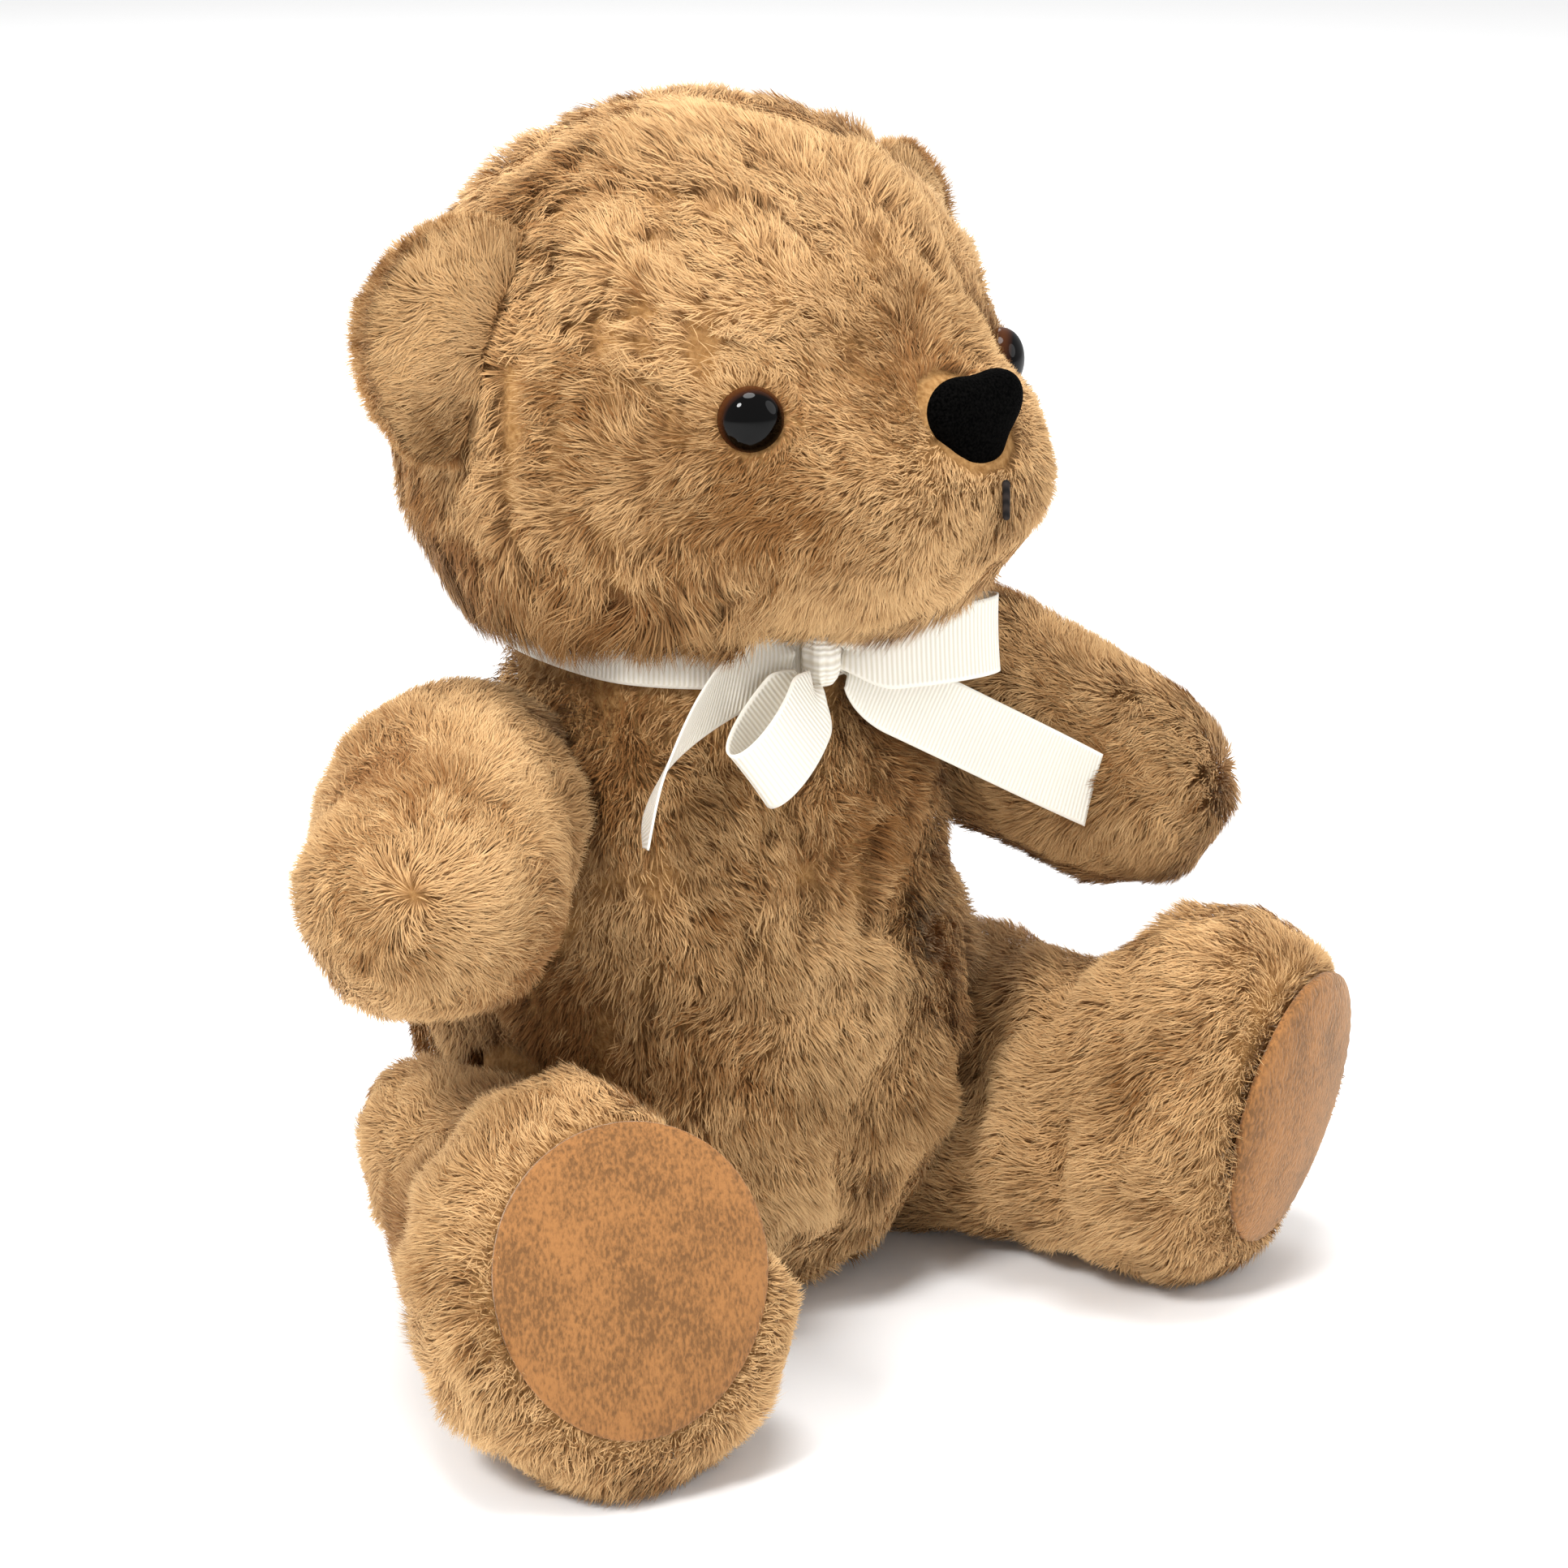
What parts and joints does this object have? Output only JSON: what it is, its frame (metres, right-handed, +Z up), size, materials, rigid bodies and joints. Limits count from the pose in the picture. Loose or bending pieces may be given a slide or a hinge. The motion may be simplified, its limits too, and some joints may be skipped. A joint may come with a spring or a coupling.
{
  "type": "jointed teddy bear",
  "caption": "Seated plush teddy bear whose head, arms and legs turn on disc joints, with velour soles and a cream ribbon bow at the neck.",
  "frame": {"origin": "middle of the flat seat under the torso, on the ground plane", "axes": "+Z up, the bear's body looks along -Y, +X is the bear's own left"},
  "size_m": [0.2325, 0.1653, 0.2564],
  "materials": {
    "plush": "long-pile golden tan plush, matt, lighter at the tips",
    "stuffing": "white polyester fibre stuffing, hidden inside the skins",
    "velour": "short-nap tan velour on the soles",
    "ribbon": "cream grosgrain ribbon with fine cross ribs, slight sheen",
    "thread": "black embroidery thread",
    "flock": "black flocked nose, soft and matt",
    "amber_plastic": "polished dark amber safety-eye plastic",
    "black_plastic": "polished black plastic pupil and shank",
    "joint_plastic": "natural white moulded joint discs, washers and lock rings"
  },
  "bodies": {
    "torso": {"torso_skin": "plush", "torso_stuffing": "stuffing", "neck_washer": "joint_plastic", "shoulder_left_washer": "joint_plastic", "shoulder_right_washer": "joint_plastic", "hip_left_washer": "joint_plastic", "hip_right_washer": "joint_plastic", "ribbon_band": "ribbon", "ribbon_knot": "ribbon", "ribbon_loop_left": "ribbon", "ribbon_loop_right": "ribbon", "ribbon_tail_left": "ribbon", "ribbon_tail_right": "ribbon"},
    "head": {"head_skin": "plush", "head_stuffing": "stuffing", "ear_left": "plush", "ear_right": "plush", "eye_left_lens": "amber_plastic", "eye_left_pupil": "black_plastic", "eye_left_washer": "joint_plastic", "eye_right_lens": "amber_plastic", "eye_right_pupil": "black_plastic", "eye_right_washer": "joint_plastic", "nose": "flock", "nose_shank": "black_plastic", "nose_washer": "joint_plastic", "mouth_stitch": "thread", "neck_joint": "joint_plastic", "neck_lock": "joint_plastic"},
    "arm_left": {"arm_left_skin": "plush", "arm_left_stuffing": "stuffing", "arm_left_joint": "joint_plastic", "arm_left_lock": "joint_plastic"},
    "arm_right": {"arm_right_skin": "plush", "arm_right_stuffing": "stuffing", "arm_right_joint": "joint_plastic", "arm_right_lock": "joint_plastic"},
    "leg_left": {"leg_left_skin": "plush", "leg_left_stuffing": "stuffing", "leg_left_joint": "joint_plastic", "leg_left_lock": "joint_plastic", "foot_pad_left": "velour"},
    "leg_right": {"leg_right_skin": "plush", "leg_right_stuffing": "stuffing", "leg_right_joint": "joint_plastic", "leg_right_lock": "joint_plastic", "foot_pad_right": "velour"}
  },
  "joints": [
    {"name": "neck_turn", "type": "hinge", "parent": "torso", "child": "head", "pos_m": [0, 0, 0.156], "axis": [0, 0, 1], "continuous": true},
    {"name": "shoulder_left_turn", "type": "hinge", "parent": "torso", "child": "arm_left", "pos_m": [0.05, -0.004, 0.114], "axis": [0.9397, 0, 0.342], "range_deg": [-3, 160]},
    {"name": "hip_left_turn", "type": "hinge", "parent": "torso", "child": "leg_left", "pos_m": [0.045, -0.006, 0.042], "axis": [0.866, 0, -0.5], "range_deg": [-8, 90]},
    {"name": "shoulder_right_turn", "type": "hinge", "parent": "torso", "child": "arm_right", "pos_m": [-0.05, -0.004, 0.114], "axis": [-0.9397, 0, 0.342], "range_deg": [-160, 60]},
    {"name": "hip_right_turn", "type": "hinge", "parent": "torso", "child": "leg_right", "pos_m": [-0.045, -0.006, 0.042], "axis": [-0.866, 0, -0.5], "range_deg": [-90, 15]}
  ]
}
